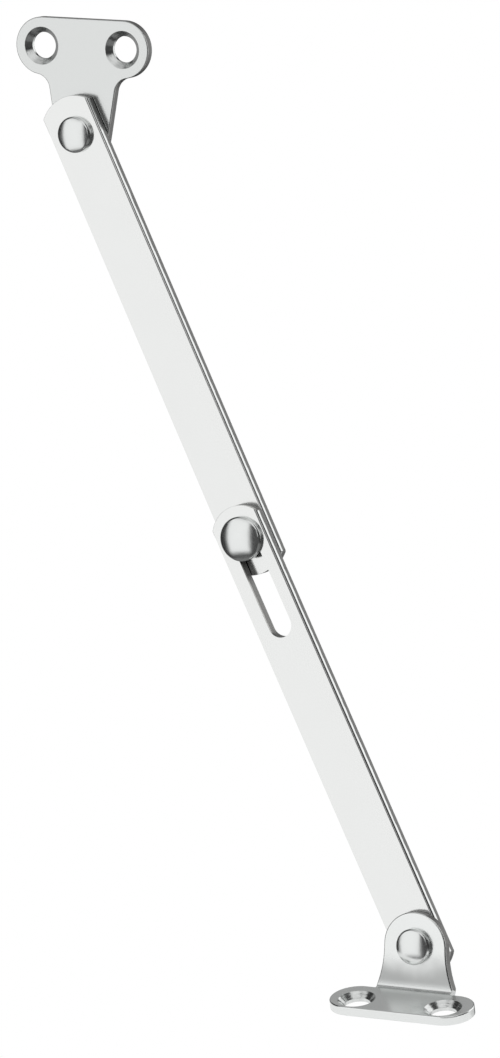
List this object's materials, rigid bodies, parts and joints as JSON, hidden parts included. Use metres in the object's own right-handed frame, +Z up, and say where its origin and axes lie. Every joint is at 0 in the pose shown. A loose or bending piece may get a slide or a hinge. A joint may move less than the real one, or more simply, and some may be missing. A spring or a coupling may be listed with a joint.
{
  "type": "lid stay",
  "caption": "Folding lid stay: a T-shaped mounting plate, flat arms that pivot and slide on a pin in a slot, and an angle bracket with countersunk holes.",
  "frame": {"origin": "midway between the mounting plate's two screw holes, on its rear face, which is screwed to the side of the cabinet", "axes": "+Z up along the mounting plate's centre line, away from its pivot; +Y towards the surface that the plate is screwed to; +X along the line of the plate's screw holes, to the right seen from the front"},
  "size_m": [0.1186, 0.0214, 0.2107],
  "materials": {
    "plated_sheet": "nickel-plated steel sheet, satin",
    "plated_strip": "nickel-plated steel strip, satin",
    "plated_rivet": "nickel-plated steel rivet, semi-bright"
  },
  "bodies": {
    "mounting_plate": {"mounting_plate": "plated_sheet", "top_rivet": "plated_rivet"},
    "upper_arm": {"upper_arm": "plated_strip"},
    "middle_rivet": {"middle_rivet": "plated_rivet"},
    "lower_arm": {"lower_arm": "plated_strip"},
    "angle_bracket": {"angle_bracket": "plated_sheet", "bottom_rivet": "plated_rivet"}
  },
  "joints": [
    {"name": "top_pivot", "type": "hinge", "parent": "mounting_plate", "child": "upper_arm", "pos_m": [0, 0, -0.0187], "axis": [0, 1, 0], "continuous": true},
    {"name": "middle_pivot", "type": "hinge", "parent": "upper_arm", "child": "middle_rivet", "pos_m": [0.04228, 0, -0.10444], "axis": [0, 1, 0], "range_deg": [-172, 172]},
    {"name": "slot_slide", "type": "slide", "parent": "middle_rivet", "child": "lower_arm", "axis": [-0.4501, 0, 0.893], "range_m": [0, 0.0204]},
    {"name": "bottom_pivot", "type": "hinge", "parent": "lower_arm", "child": "angle_bracket", "pos_m": [0.08549, 0, -0.19017], "axis": [0, 1, 0], "continuous": true}
  ]
}
